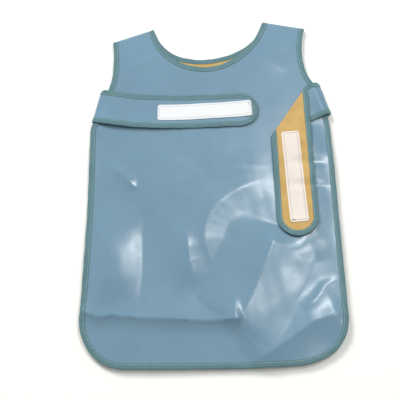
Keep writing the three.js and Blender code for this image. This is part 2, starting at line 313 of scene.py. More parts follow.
def outer_edge(inset):
    """Armhole, side, hem, side and armhole, anticlockwise from the left shoulder to the right."""
    line = rounded(
        join(left_armhole(), sides_and_hem(), right_armhole()), EDGE_SPACING, CORNER_REACH
    )
    below_arms = ease((0.25 - line[:, 1]) / 0.05)[:, None]
    return line - outward(line) * inset * below_arms


def neck_edge(neck):
    return rounded(neckline(*neck), EDGE_SPACING, EDGE_SPACING)


# ---- the lie of the front panel ----
def path(*points):
    return np.array(points, float)


LEDGE = path(
    (-0.275, -0.284),
    (-0.229, -0.296),
    (-0.205, -0.292),
    (-0.149, -0.298),
    (-0.078, -0.300),
    (-0.018, -0.304),
    (0.060, -0.300),
)
DIAGONAL = bezier(at(0.022, -0.330), at(0.064, -0.300), at(0.092, -0.215), at(0.140, -0.100), 14)
CORNER_CREASE = path((0.070, -0.390), (0.131, -0.352), (0.197, -0.306), (0.223, -0.298), (0.272, -0.282))
LEFT_VALLEY = path((-0.150, 0.010), (-0.147, -0.140), (-0.149, -0.300))
ARC = bezier(at(0.014, -0.210), at(-0.050, -0.130), at(-0.030, -0.030), at(0.135, 0.008), 12)
MIDDLE_STREAK = path((-0.062, -0.085), (-0.054, -0.160), (-0.040, -0.245))
LEFT_STREAK = path((-0.232, 0.042), (-0.205, 0.020), (-0.184, 0.002), (-0.162, -0.026))
CHEST_STREAK = path((-0.200, 0.276), (-0.166, 0.282), (-0.132, 0.303), (-0.105, 0.308))
CHEST_RIDGE = path((0.050, 0.330), (0.115, 0.303), (0.180, 0.265))
ARMPIT_FOLD = path((-0.254, 0.128), (-0.243, 0.095), (-0.251, 0.062))
UPPER_MEMORY = path((-0.262, 0.060), (-0.159, 0.047), (-0.028, 0.042), (0.140, 0.031))
LOWER_MEMORY = path((-0.262, -0.009), (-0.114, -0.023), (0.050, -0.060))
RIGHT_FOLDS = path((0.175, -0.285), (0.205, -0.262), (0.228, -0.231), (0.262, -0.215))
# Each crease's path, height, width on its left and right, faded share of its length, and power.
CREASES = (
    (LEDGE, 0.0080, 0.075, 0.034, 0.06),
    (LEDGE, 0.0010, 0.007, 0.010, 0.06),
    (DIAGONAL, 0.0126, 0.100, 0.092, 0.18, 1.15),
    (CORNER_CREASE, 0.0085, 0.080, 0.055, 0.15, 1.6),
    (ARC, 0.0046, 0.090, 0.055, 0.3, 1.5),
    (MIDDLE_STREAK, 0.0052, 0.038, 0.040, 0.4, 1.5),
    (LEFT_STREAK, 0.0048, 0.022, 0.026, 0.45, 1.5, 0.32),
    (ARMPIT_FOLD, 0.0016, 0.020, 0.012, 0.2),
    (CHEST_STREAK, 0.0013, 0.020, 0.022, 0.3),
    (CHEST_RIDGE, 0.0016, 0.035, 0.040, 0.35),
    (UPPER_MEMORY, 0.0006, 0.020, 0.014, 0.2),
    (LOWER_MEMORY, 0.0006, 0.020, 0.016, 0.3),
    (RIGHT_FOLDS, 0.0024, 0.022, 0.030, 0.3),
)
STRAP_TOP_Y = 0.245
STRAP_BOTTOM_Y = 0.105


def front_height(flat):
    """Height of the front panel's middle surface: rolling ripples, creases and a lifted edge."""
    x, y = flat[:, 0], flat[:, 1]
    body = ease((STRAP_BOTTOM_Y - y) / 0.06)
    chest = ease((y - STRAP_TOP_Y) / 0.05)
    loose = 0.10 + 0.90 * body + 0.45 * chest
    lift = 0.0012 * np.ones_like(x)
    for hinge in (LEFT_FOLD, RIGHT_FOLD):
        lift += 0.0004 * hump(np.linalg.norm(flat - hinge.middle, axis=1) / 0.060)
    lift += loose * (
        0.0004
        + 0.0007 * soft_noise(flat, 0.240, 3)
        + 0.00016 * soft_noise(flat, 0.085, 11)
        + 0.00005 * soft_noise(flat, 0.030, 5)
    )
    for shape in CREASES:
        lift += crease(flat, *shape)
    signed = beside(flat, LEFT_VALLEY)[0]
    lift += left_flank(-signed) * ease((y + 0.290) / 0.075) * ease((-0.025 - y) / 0.140)
    glints = 1 - 0.5 * hump((y - 0.040) / 0.011) - 0.5 * hump((y + 0.013) / 0.010)
    right_ridge = ease((x - 0.145) / 0.050) * ease((0.266 - x) / 0.058)
    lift += 0.0060 * right_ridge * ease((y + 0.185) / 0.060) * ease((0.135 - y) / 0.050) * glints
    lift += 0.0030 * hump((x - 0.150) / 0.040) * hump((y + 0.190) / 0.060)
    side_lift = hump((0.271 - np.abs(x)) / 0.030) * body
    lift += 0.0022 * side_lift * (1 + 0.5 * np.sin(y * 31))
    lift = LOWEST_DIP * (np.logaddexp(0, (lift / LOWEST_DIP + 1) * 3) / 3 - 1)
    return FRONT_Z + level_at_shoulders(lift, flat)


def rear_height(flat):
    spread = 0.0004 * (1 + soft_noise(flat, 0.180, 21))
    return REAR_Z + level_at_shoulders(spread, flat)


# ---- carrying flat cloth into space ----
def placer(position):
    """Wraps a function from flat points to positions so that it gives surface normals too."""
    step = 0.0003

    def place(flat):
        across = position(flat + at(step, 0)) - position(flat - at(step, 0))
        along = position(flat + at(0, step)) - position(flat - at(0, step))
        normal = np.cross(across, along)
        return position(flat), normal / np.linalg.norm(normal, axis=1)[:, None]

    return place


def panel_position(height, side):
    """side is 1 for the front panel, which turns down over the shoulders, and -1 for the rear."""

    def position(flat):
        xy = flat.copy()
        z = height(flat)
        for shoulder in SHOULDERS:
            past = shoulder.beyond(flat)
            turned = (past > 0) & shoulder.on_its_side(flat)
            angle = past / SHOULDER_RADIUS
            rolled = flat + np.outer(SHOULDER_RADIUS * np.sin(angle) - past, shoulder.out)
            xy = np.where(turned[:, None], rolled, xy)
            z = np.where(turned, FOLD_MIDDLE_Z + side * SHOULDER_RADIUS * np.cos(angle), z)
        return np.column_stack([xy, z])

    return position


place_front = placer(panel_position(front_height, 1))
place_rear = placer(panel_position(rear_height, -1))


# ---- straps ----
def hinge_line(joint, outward_of):
    """A hinge from the frame, seen from above."""
    return TurnLine(JOINTS[joint]["pos_m"][:2], JOINTS[joint]["axis"][:2], outward_of)


LEFT_FOLD = hinge_line("left_strap_swing", at(-1, 0))
RIGHT_FOLD = hinge_line("right_strap_swing", at(1, 0))
CREASE = hinge_line("right_strap_end_turn", at(-1, 1))
CREASE_Z = JOINTS["right_strap_end_turn"]["pos_m"][2]
ROOT_REACH = 0.020
TURN_RADIUS = 0.0045
TURN_MIDDLE_Z = 0.0102
TURN_TOP = TURN_MIDDLE_Z + TURN_RADIUS
CREASE_RADIUS = 0.0018
HALF_TURN = math.pi * TURN_RADIUS
CREASE_TURN = math.pi * CREASE_RADIUS
ROOT_START = -HALF_TURN - ROOT_REACH
REST_LIFT = COVER_ON_PANEL + COVER + STRAP_HALF + PLAY    # a strap's middle above the panel's

START_HALF_WIDTH = 0.0418              # of both straps, at their hinge lines
CORNER_ROUNDING = 0.013


class StrapLine:
    """A strap's centre line on the front panel. s is the distance along it, t the way to its left."""

    def __init__(self, fold, line, end_half_width, widens_over, shears_over, upper_sign):
        self.fold_out, fold_along = fold
        self.line = line
        self.total = lengths_along(line)
        self.headings = tangents(line)
        self.length = self.total[-1]
        self.end_half_width = end_half_width
        self.widens_over = widens_over
        self.shears_over = shears_over
        self.upper_sign = upper_sign
        left = at(-self.headings[0][1], self.headings[0][0])
        self.shear = (fold_along @ self.headings[0]) / (fold_along @ left)

    def half_width(self, s):
        gain = self.end_half_width - START_HALF_WIDTH
        return START_HALF_WIDTH + gain * ease(s / self.widens_over)

    def on_panel(self, s, t):
        """Plan position of cloth that lies past the hinge line."""
        centre = part_way(s, self.total, self.line)
        heading = part_way(s, self.total, self.headings)
        heading /= np.linalg.norm(heading, axis=1)[:, None]
        left = np.column_stack([-heading[:, 1], heading[:, 0]])
        past_end = np.maximum(s - self.length, 0)
        lean = t * self.shear * (1 - ease(s / self.shears_over)) + self.drawn_in(s, t)
        return centre + heading * (past_end + lean)[:, None] + left * t[:, None]

    def drawn_in(self, s, t):
        """How far the strap's upper corner is pulled in where it turns over."""
        corner = np.clip((self.upper_sign * t - START_HALF_WIDTH) / CORNER_ROUNDING + 1, 0, 1)
        return 0.006 * corner**2 * (1 - ease(s / 0.030))

    def turned_under(self, s, t):
        """Position of cloth on the turn round the hinge line and on the root inside the apron."""
        angle = math.pi / 2 + np.maximum(s, -HALF_TURN) / TURN_RADIUS
        foot = self.on_panel(np.zeros_like(s), t)
        out = TURN_RADIUS * np.cos(angle) + np.minimum(s + HALF_TURN, 0)
        xy = foot + np.outer(out, self.fold_out)
        return np.column_stack([xy, TURN_MIDDLE_Z + TURN_RADIUS * np.sin(angle)])

    def edge(self, start, spacing=0.0012):
        """The outline from its root down one edge, round the cap and back, anticlockwise in (s, t)."""
        s = np.linspace(start, self.length, 200)
        width = self.half_width(s)
        turn = np.linspace(-math.pi / 2, math.pi / 2, 60)
        cap = np.column_stack([np.cos(turn), np.sin(turn)]) * self.end_half_width
        cap += at(self.length, 0)
        right_edge = np.column_stack([s, -width])
        left_edge = np.column_stack([s, width])[::-1]
        return resample(join(right_edge, cap, left_edge), spacing)


def settle(s, reach):
    """1 at the hinge line, 0 once the strap lies on the panel."""
    return 1 - ease(s / reach)


def arch(s, peak, reach):
    """How far a strap stands off the panel past its hinge line before it settles."""
    return peak * (s / reach) * np.exp(1 - s / reach)


LEFT_CAP_CENTRE = at(0.062, 0.1685)
LEFT_CAP_RADIUS = 0.0405
LEFT_FOLD_LEAN = math.radians(12)      # the turned edge of the left strap, from the Y axis
left_line = StrapLine(
    (
        at(-math.cos(LEFT_FOLD_LEAN), math.sin(LEFT_FOLD_LEAN)),
        at(math.sin(LEFT_FOLD_LEAN), math.cos(LEFT_FOLD_LEAN)),
    ),
    bezier(at(-0.2543, 0.1770), at(-0.164, 0.156), at(-0.058, 0.1622), LEFT_CAP_CENTRE, 90),
    LEFT_CAP_RADIUS,
    0.300,
    0.060,
    1,
)


LEFT_ARCH = 0.0030                # how far the left strap stands off the panel past its fold
LEFT_ARCH_TILT = 0.0018           # how much more it does so at its lower edge, and less at its upper
LEFT_ARCH_REACH = 0.036
LEFT_LOWER_LIFT = 0.0012          # its lower edge also stays up, for about 0.2 m
LEFT_TIP_CURL = 0.0014
LEFT_SETTLE = 0.014


def left_strap_position(flat):
    s, t = flat[:, 0], flat[:, 1]
    laid = np.maximum(s, 0)
    xy = left_line.on_panel(laid, t)
    ripple = 0.0005 * (1 + soft_noise(flat, 0.080, 31)) * ease(laid / 0.03)
    peak = LEFT_ARCH - LEFT_ARCH_TILT * t / LEFT_CAP_RADIUS
    curl = LEFT_TIP_CURL * ease((s - left_line.length + 0.01) / LEFT_CAP_RADIUS)
    low_lift = LEFT_LOWER_LIFT * ease(-t / LEFT_CAP_RADIUS) * (1 - ease((laid - 0.10) / 0.11))
    arched = arch(laid, peak, LEFT_ARCH_REACH)
    rest = front_height(xy) + REST_LIFT + arched + ripple + curl + low_lift
    z = rest + (TURN_TOP - rest) * settle(laid, LEFT_SETTLE)
    return np.where((s > 0)[:, None], np.column_stack([xy, z]), left_line.turned_under(s, t))


END_HEADING = math.radians(200.8)
END_REACH = 0.2900                     # from the crease to the tip of the turned end
RIGHT_HALF_WIDTH = 0.0445
end_heading = at(math.cos(END_HEADING), math.sin(END_HEADING))
crossing = CREASE.middle - CREASE.along * 0.006
turn_length = CREASE_TURN / (end_heading @ CREASE.out)
to_crease = np.linalg.norm(crossing - RIGHT_FOLD.middle)
base_start = RIGHT_FOLD.middle + at(-0.0008, 0.0030)
base_line = bezier(
    base_start,
    base_start - RIGHT_FOLD.out * to_crease / 3,
    crossing - end_heading * to_crease / 3,
    crossing,
    40,
)
crossing_s = lengths_along(base_line)[-1]
cap_centre = crossing + end_heading * (END_REACH + turn_length - RIGHT_HALF_WIDTH)
right_line = StrapLine(
    (RIGHT_FOLD.out, RIGHT_FOLD.along),
    join(base_line, resample(np.array([crossing, cap_centre]), 0.005)),
    RIGHT_HALF_WIDTH,
    0.075,
    0.040,
    -1,
)
RIGHT_ARCH = 0.0056
RIGHT_ARCH_REACH = 0.010
RIGHT_SETTLE = 0.008
END_OVER_BASE = 0.0048                 # the turned end lies this much higher over its own base
END_TIP_LIFT = 0.0034
BASE_Z = CREASE_Z - CREASE_RADIUS
END_Z = CREASE_Z + CREASE_RADIUS


def base_height(xy, s):
    inward = -CREASE.beyond(xy)
    rest = np.maximum(front_height(xy) + REST_LIFT, BASE_Z - 0.0006)
    rest = BASE_Z + (rest - BASE_Z) * ease(inward / 0.025)
    rest += arch(s, RIGHT_ARCH, RIGHT_ARCH_REACH)
    return rest + (TURN_TOP - rest) * settle(s, RIGHT_SETTLE)


def end_height(xy):
    """The turned end stays above its own base, then comes down to the panel, and its tip lifts."""
    inward = -CREASE.beyond(xy)
    over_base = 1 - ease((inward - 0.020) / 0.080)
    tip = ease((-0.040 - xy[:, 1]) / 0.085)
    rest = front_height(xy) + REST_LIFT + END_OVER_BASE * over_base + END_TIP_LIFT * tip
    rest += 0.0004 * (1 + soft_noise(xy, 0.090, 41))
    return END_Z + (rest - END_Z) * ease(inward / 0.030)


def right_strap_position(flat):
    s, t = flat[:, 0], flat[:, 1]
    laid = np.maximum(s, 0)
    xy = right_line.on_panel(laid, t)
    past = CREASE.beyond(xy)
    base = np.column_stack([xy, base_height(xy, laid)])
    angle = np.clip(past / CREASE_RADIUS, 0, math.pi)
    fold_xy = xy + np.outer(CREASE_RADIUS * np.sin(angle) - past, CREASE.out)
    fold = np.column_stack([fold_xy, CREASE_Z - CREASE_RADIUS * np.cos(angle)])
    end_xy = xy - np.outer(2 * past - CREASE_TURN, CREASE.out)
    end = np.column_stack([end_xy, end_height(end_xy)])
    turned = np.where((past > CREASE_TURN)[:, None], end, fold)
    laid_down = np.where((past > 0)[:, None], turned, base)
    return np.where((s > 0)[:, None], laid_down, right_line.turned_under(s, t))


place_left_strap = placer(left_strap_position)
place_right_strap = placer(right_strap_position)


# ---- meshes ----
def face_outwards(mesh):
    """Turns a closed mesh's faces round if it is inside out."""
    mesh.calc_loop_triangles()
    corners = np.zeros(len(mesh.loop_triangles) * 3, np.int32)
    mesh.loop_triangles.foreach_get("vertices", corners)
    points = np.zeros(len(mesh.vertices) * 3)
    mesh.vertices.foreach_get("co", points)
    a, b, c = points.reshape(-1, 3)[corners.reshape(-1, 3)].transpose(1, 0, 2)
    if np.einsum("ij,ij->", a, np.cross(b, c)) < 0:
        mesh.flip_normals()


def new_object(name, data):
    made = bpy.data.objects.new(name, data)
    bpy.context.scene.collection.objects.link(made)
    return made


def add_piece(name, vertices, faces, cloth, material, slot, sharp_over=60):
    """A closed, smooth shaded mesh. cloth holds each point's place on the flat cut, for materials."""
    vertices = np.maximum(vertices, (-math.inf, -math.inf, FLOOR_Z))
    mesh = bpy.data.meshes.new(name)
    mesh.from_pydata(vertices.tolist(), [], faces)
    face_outwards(mesh)
    flat = mesh.attributes.new("cloth", "FLOAT_VECTOR", "POINT")
    flat.data.foreach_set("vector", np.asarray(cloth, np.float32).ravel())
    mesh.shade_smooth()
    mesh.set_sharp_from_angle(angle=math.radians(sharp_over))
    mesh.materials.append(material)
    piece = new_object(name, mesh)
    return piece


def inside(points, loop):
    x, y = points[:, 0], points[:, 1]
    odd = np.zeros(len(points), bool)
    for a, b in zip(loop, np.roll(loop, -1, axis=0)):
        if a[1] != b[1]:
            crosses = (a[1] > y) != (b[1] > y)
            odd ^= crosses & (x < a[0] + (y - a[1]) * (b[0] - a[0]) / (b[1] - a[1]))
    return odd


def distance_to(others, points):
    """How far each point is from the nearest of the others."""
    tree = KDTree(len(others))
    for i, (x, y) in enumerate(others):
        tree.insert((x, y, 0), i)
    tree.balance()
    return np.array([tree.find((x, y, 0))[2] for x, y in points])


def cut_cloth(loop, spacing, folds=()):
    """Triangles that fill a closed outline, with edges along each fold line."""
    low, high = loop.min(axis=0), loop.max(axis=0)
    columns = np.arange(low[0], high[0], spacing)
    rows = np.arange(low[1], high[1], spacing)
    grid = np.array([at(x, y) for y in rows for x in columns])
    fixed = np.vstack([loop, *folds])
    grid = grid[inside(grid, loop)]
    grid = grid[distance_to(fixed, grid) > spacing * 0.55]
    edges = [(i, (i + 1) % len(loop)) for i in range(len(loop))]
    start = len(loop)
    for fold in folds:
        edges += [(start + i, start + i + 1) for i in range(len(fold) - 1)]
        start += len(fold)
    points = [Vector(point) for point in np.vstack([fixed, grid])]
    found, _, triangles, _, _, _ = delaunay_2d_cdt(points, edges, [], 1, 1e-7)
    used = sorted({i for triangle in triangles for i in triangle})
    new_index = {old: new for new, old in enumerate(used)}
    flat = np.array([found[i][:] for i in used])
    return flat, [tuple(new_index[i] for i in triangle) for triangle in triangles]


flat_places = {}                   # of each piece's vertices on the flat cut, which bend_along reads to work out how far along a strap they are


def closed_sheet(name, cut, upper, lower, marks, material, slot):
    """A thin sheet with an upper and a lower face, marked with a number each for the material."""
    flat, triangles = cut
    count = len(flat)
    edges = dict.fromkeys((t[i], t[(i + 1) % 3]) for t in triangles for i in range(3))
    rim = [(a, b) for a, b in edges if (b, a) not in edges]
    faces = triangles + [tuple(i + count for i in reversed(triangle)) for triangle in triangles]
    faces += [(b, a, a + count, b + count) for a, b in rim]
    both = np.vstack([flat, flat])
    cloth = np.column_stack([both, np.repeat(marks, count)])
    flat_places[name] = both
    return add_piece(name, np.vstack([upper, lower]), faces, cloth, material, slot)


def sheet_piece(name, cut, place, offsets, material, slot):
    """A thin closed sheet between two offsets from the placed middle surface."""
    position, normal = place(cut[0])
    upper, lower = [position + normal * offset for offset in offsets]
    return closed_sheet(name, cut, upper, lower, offsets, material, slot)


def settle_piece(piece, body, *nodes):
    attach(piece, body)
    if nodes:
        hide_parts(*nodes)


def polygon_area(loop):
    x, y = loop[:, 0], loop[:, 1]
    return abs(x @ np.roll(y, -1) - y @ np.roll(x, -1)) / 2


def declare_cut(loop):
    polygon_area(loop)


def swept(sections):
    """Vertices and faces of a closed tube through equal rings of points, capped at both ends."""
    count, around = sections.shape[:2]
    faces = []
    for i in range(count - 1):
        for j in range(around):
            k = (j + 1) % around
            faces.append((i * around + j, i * around + k, (i + 1) * around + k, (i + 1) * around + j))
    faces.append(tuple(reversed(range(around))))
    faces.append(tuple((count - 1) * around + j for j in range(around)))
    return sections.reshape(-1, 3), faces


def tube(centres, side, other, radii, around):
    """A closed tube of round sections. side and other are unit vectors across it."""
    turn = np.linspace(0, 2 * math.pi, around, endpoint=False)[None, :, None]
    side = np.broadcast_to(side, centres.shape)
    ring = np.cos(turn) * side[:, None, :] + np.sin(turn) * other[:, None, :]
    return swept(centres[:, None, :] + ring * np.reshape(radii, (-1, 1, 1)))


def many(parts):
    """Joins the vertices and faces of many small closed shapes."""
    vertices, faces, start = [], [], 0
    for part_vertices, part_faces, *_ in parts:
        vertices.append(part_vertices)
        faces += [tuple(i + start for i in face) for face in part_faces]
        start += len(part_vertices)
    return np.vstack(vertices), faces


# ---- binding tape ----
STITCH_DEPTH = 0.0096             # the row of stitches, from the outer edge
STITCH_PITCH = 0.0058
STITCH_LENGTH = 0.0036
STITCH_RADIUS = 0.00055
STITCH_GROOVE = 0.00045           # how far the thread pulls the tape in
THREAD_SIDES = 5
TAPE_CROWN = 0.00045              # how far the tape bulges between its edge and its stitches
CROWN_DEPTH = 0.0055
TAPE_PUCKER = 0.00016
PUCKER_LENGTH = 0.011
RIM_WAVE = 0.00020                # the tape's outer edge wanders in and out by about this much
RIM_WAVE_LENGTH = 0.030


def tape_section(half, depths):
    """One section of the tape round an edge: (depth from the edge, offset from the middle)."""
    turn = np.linspace(0, math.pi, 9)[1:-1]
    inner_half = half - TAPE
    flat_depths = [depth for depth in depths if depth > half]
    inner_depths = flat_depths[:: max(1, len(flat_depths) // 6)]
    outside = [(depth, half) for depth in flat_depths]
    outside += [(half * (1 - math.sin(a)), half * math.cos(a)) for a in turn]
    outside += [(depth, -half) for depth in reversed(flat_depths)]
    lining = [(depth, -inner_half) for depth in inner_depths]
    lining += [(half - inner_half * math.sin(a), -inner_half * math.cos(a)) for a in turn[::2]]
    lining += [(depth, inner_half) for depth in reversed(inner_depths)]
    return np.array(outside), np.array(lining)


def tape_piece(name, line, place, half, depth_step=0.0018, wrinkle=None, seed=1):
    """Folded woven tape along an edge, with its stitch groove, puckers and slightly wavy rim."""
    depths = np.append(np.arange(TAPE_WIDTH, half, -depth_step), half * 1.02)
    outside, lining = tape_section(half, depths)
    section = np.vstack([outside, lining])
    count, around = len(line), len(section)
    along = lengths_along(line)
    depth = np.tile(section[:, 0], (count, 1))
    offset = np.tile(section[:, 1], (count, 1))
    steps = np.repeat(along[:, None], around, axis=1)
    strength = np.ones(count) if wrinkle is None else wrinkle(line)
    wander = soft_noise(np.column_stack([along, 0 * along]), RIM_WAVE_LENGTH, seed)
    waves = np.column_stack([steps.ravel(), depth.ravel() * 2 + np.sign(offset.ravel()) * 0.05])
    pucker = soft_noise(waves, PUCKER_LENGTH, seed + 1).reshape(count, around)
    swell = TAPE_PUCKER * pucker * strength[:, None]
    swell -= STITCH_GROOVE * hump((depth - STITCH_DEPTH) / 0.0010)
    swell += TAPE_CROWN * hump((depth - CROWN_DEPTH) / 0.0032)
    outer = np.zeros(around)
    outer[: len(outside)] = 1
    offset += np.sign(offset) * swell * outer
    near_rim = np.clip(1 - depth / TAPE_WIDTH, 0, 1)
    rim_shift = np.clip(RIM_WAVE * wander * strength, -0.0009, 0.0002)
    depth += rim_shift[:, None] * (near_rim + 0.4)
    out = outward(line)
    flat = line[:, None, :] - out[:, None, :] * depth[:, :, None]
    position, normal = place(flat.reshape(-1, 2))
    position = position + normal * offset.reshape(-1, 1)
    vertices, faces = swept(position.reshape(count, around, 3))
    across = np.concatenate([[0], np.cumsum(np.linalg.norm(np.diff(section, axis=0), axis=1))])
    cloth = np.column_stack([steps.ravel(), np.tile(across, count), offset.ravel()])
    flat_places[name] = flat.reshape(-1, 2)
    piece = add_piece(name, vertices, faces, cloth, tape, "binding_tape", 75)
    return piece


def stitch(place, centres, headings, offset, length=STITCH_LENGTH, radius=STITCH_RADIUS):
    """Short rounded stitches lying on a placed surface."""
    reach = np.array([-0.5, -0.36, 0.36, 0.5]) * length
    girth = np.array([0.35, 1.0, 1.0, 0.35]) * radius
    flat = centres[:, None, :] + headings[:, None, :] * reach[None, :, None]
    position, normal = place(flat.reshape(-1, 2))
    position = position.reshape(len(centres), 4, 3)
    normal = normal.reshape(len(centres), 4, 3)
    along = np.apply_along_axis(unit, 1, position[:, 3] - position[:, 0])
    parts = []
    for i in range(len(centres)):
        side = np.cross(normal[i], along[i])
        raised = position[i] + normal[i] * (offset + math.copysign(radius * 0.2, offset))
        thread = tube(raised, side, normal[i], girth, THREAD_SIDES)
        parts.append((*thread, np.repeat(flat[i], THREAD_SIDES, axis=0)))
    return parts


def stitch_row(line, place, offset, depth=STITCH_DEPTH, pitch=STITCH_PITCH, seed=5):
    row = resample(line - outward(line) * depth, pitch)
    random = np.random.default_rng(seed)
    heading = tangents(row)
    jitter = random.normal(0, 0.03, len(row))
    turned = heading + np.column_stack([-heading[:, 1], heading[:, 0]]) * jitter[:, None]
    return stitch(place, row[1:-1], turned[1:-1], offset)


def thread_piece(name, parts, material, slot="binding_tape"):
    vertices, faces = many(parts)
    if len(parts[0]) == 3:
        flat_places[name] = np.vstack([part[2] for part in parts])
    return add_piece(name, vertices, faces, vertices, material, slot, 80)


# ---- materials ----
class Finish:
    """A principled material, with short ways to add nodes that follow the flat cloth."""

    def __init__(self, name, **constants):
        self.material = bpy.data.materials.new(name)
        self.material.use_nodes = True
        self.tree = self.material.node_tree
        self.shader = self.tree.nodes["Principled BSDF"]
        for socket, value in constants.items():
            self.shader.inputs[socket.replace("_", " ")].default_value = value
        flat = self.add("Attribute")
        flat.attribute_name = "cloth"
        self.cloth = flat.outputs["Vector"]

    def feed(self, socket, value):
        """Links a socket to another node's output, or gives it a constant."""
        if isinstance(value, bpy.types.NodeSocket):
            self.tree.links.new(value, socket)
        else:
            socket.default_value = value

    def add(self, kind, **inputs):
        node = self.tree.nodes.new("ShaderNode" + kind)
        for name, value in inputs.items():
            self.feed(node.inputs[name.replace("_", " ")], value)
        return node

    def noise(self, size, detail=3.0, roughness=0.5, stretch=(1, 1, 1)):
        """Noise between 0 and 1 whose lumps are about size metres."""
        where = self.add("Mapping", Vector=self.cloth, Scale=stretch).outputs["Vector"]
        noise = self.add("TexNoise", Vector=where, Scale=1 / size, Detail=detail, Roughness=roughness)
        return noise.outputs["Fac"]

    def ribs(self, pitch, direction, distortion=0.4):
        scale = math.pi / (10 * pitch)
        wave = self.add("TexWave", Vector=self.cloth, Scale=scale, Distortion=distortion, Detail=1.0)
        wave.wave_type = "BANDS"
        wave.bands_direction = direction
        return wave.outputs["Fac"]

    def cells(self, size):
        return self.add("TexVoronoi", Vector=self.cloth, Scale=1 / size).outputs["Distance"]

    def math(self, operation, a, b):
        node = self.add("Math")
        node.operation = operation
        self.feed(node.inputs[0], a)
        self.feed(node.inputs[1], b)
        return node.outputs["Value"]

    def ramp(self, value, low, high, start=0.3, end=0.7):
        """Maps a value onto a number between low and high."""
        limits = {"From_Min": start, "From_Max": end, "To_Min": low, "To_Max": high}
        return self.add("MapRange", Value=value, **limits).outputs["Result"]

    def blend(self, share, first, second):
        """Mixes two colours, each an RGB triple or another node's colour."""
        mix = self.add("Mix")
        mix.data_type = "RGBA"
        self.feed(mix.inputs["Factor"], share)
        colour_inputs = [socket for socket in mix.inputs if socket.type == "RGBA"]
        for socket, colour in zip(colour_inputs, (first, second)):
            self.feed(socket, (*colour, 1) if isinstance(colour, tuple) else colour)
        return next(socket for socket in mix.outputs if socket.type == "RGBA")

    def bump(self, *layers):
        """Each layer is a height, its strength and its depth in metres."""
        below = {}
        for height, strength, depth in layers:
            bump = self.add("Bump", Height=height, Strength=strength, Distance=depth, **below)
            below = {"Normal": bump.outputs["Normal"]}
        self.set("Normal", below["Normal"])

    def set(self, socket, value):
        self.feed(self.shader.inputs[socket], value)


def coated_vinyl():
    finish = Finish("coated_vinyl", IOR=1.46, Coat_Weight=0.10, Coat_Roughness=0.20)
    broad = finish.noise(0.110, 4)
    fine = finish.noise(0.006, 5, 0.6)
    base = finish.blend(finish.ramp(broad, 0, 1), VINYL_DARK, VINYL_LIGHT)
    dusty = finish.blend(finish.ramp(fine, 0, 0.35, 0.5, 0.75), base, VINYL_DUST)
    finish.set("Base Color", dusty)
    patches = finish.noise(0.030, 4, 0.6)
    finish.set("Roughness", finish.ramp(patches, 0.20, 0.29))
    grain = finish.cells(0.0011)
    finish.bump(
        (finish.noise(0.045, 3), 0.30, 0.0005),
        (finish.noise(0.009, 3), 0.20, 0.0002),
        (grain, 0.08, 0.00008),
    )
    return finish.material


def woven_tape():
    finish = Finish("woven_tape", Sheen_Weight=0.12, Sheen_Roughness=0.5)
    ribs = finish.ribs(0.0009, "X", 0.6)
    cross = finish.ribs(0.0016, "Y", 0.6)
    worn = finish.noise(0.020, 4, 0.6)
    weave = finish.math("MULTIPLY", ribs, cross)
    ground = finish.blend(finish.ramp(worn, 0, 1), TAPE_DARK, TAPE_LIGHT)
    finish.set("Base Color", finish.blend(finish.ramp(weave, 0.0, 0.5, 0, 1), ground, TAPE_THREAD))
    finish.set("Roughness", finish.ramp(worn, 0.62, 0.8))
    finish.bump((worn, 0.3, 0.0005), (weave, 0.6, 0.00022))
    return finish.material


def woven_lining():
    finish = Finish("woven_lining", Sheen_Weight=0.15, Sheen_Roughness=0.4)
    warp = finish.ribs(0.0007, "X")
    weft = finish.ribs(0.0009, "Y")
    cloudy = finish.noise(0.035, 4)
    slub = finish.noise(0.004, 3, 0.6, (1, 6, 1))
    ground = finish.blend(finish.ramp(cloudy, 0, 1), LINING_DARK, LINING_LIGHT)
    finish.set("Base Color", finish.blend(finish.ramp(slub, 0, 0.3), ground, LINING_DARK))
    finish.set("Roughness", finish.ramp(slub, 0.75, 0.9))
    finish.bump((cloudy, 0.25, 0.0009), (finish.math("ADD", warp, weft), 0.5, 0.0002))
    return finish.material


def pile(name, light, shade):
    finish = Finish(name, Sheen_Weight=0.4, Sheen_Roughness=0.5)
    tufts = finish.noise(0.0016, 4, 0.7)
    finish.set("Base Color", finish.blend(finish.ramp(tufts, 0, 1, 0.38, 0.62), shade, light))
    finish.set("Roughness", finish.ramp(tufts, 0.8, 0.95))
    finish.bump((tufts, 0.6, 0.0005))
    return finish.material


def plastic_hooks():
    finish = Finish("hook_plastic", IOR=1.5)
    uneven = finish.noise(0.008, 3)
    finish.set("Base Color", finish.blend(finish.ramp(uneven, 0, 1), HOOK_SHADE, HOOK_LIGHT))
    finish.set("Roughness", finish.ramp(uneven, 0.35, 0.5))
    finish.bump((finish.noise(0.0012, 2), 0.2, 0.0001))
    return finish.material


def sewing_thread(name, light, shade):
    finish = Finish(name, Sheen_Weight=0.1)
    ply = finish.noise(0.0012, 2, 0.5, (2, 1, 1))
    finish.set("Base Color", finish.blend(finish.ramp(ply, 0, 1), shade, light))
    finish.set("Roughness", finish.ramp(ply, 0.5, 0.7))
    finish.bump((ply, 0.5, 0.0001))
    return finish.material


def leaded_vinyl():
    finish = Finish("leaded_vinyl", IOR=1.5)
    filler = finish.noise(0.003, 5, 0.7)
    finish.set("Base Color", finish.blend(filler, LEAD_SHADE, LEAD_LIGHT))
    finish.set("Roughness", finish.ramp(filler, 0.6, 0.8))
    finish.bump((filler, 0.3, 0.0002))
    return finish.material


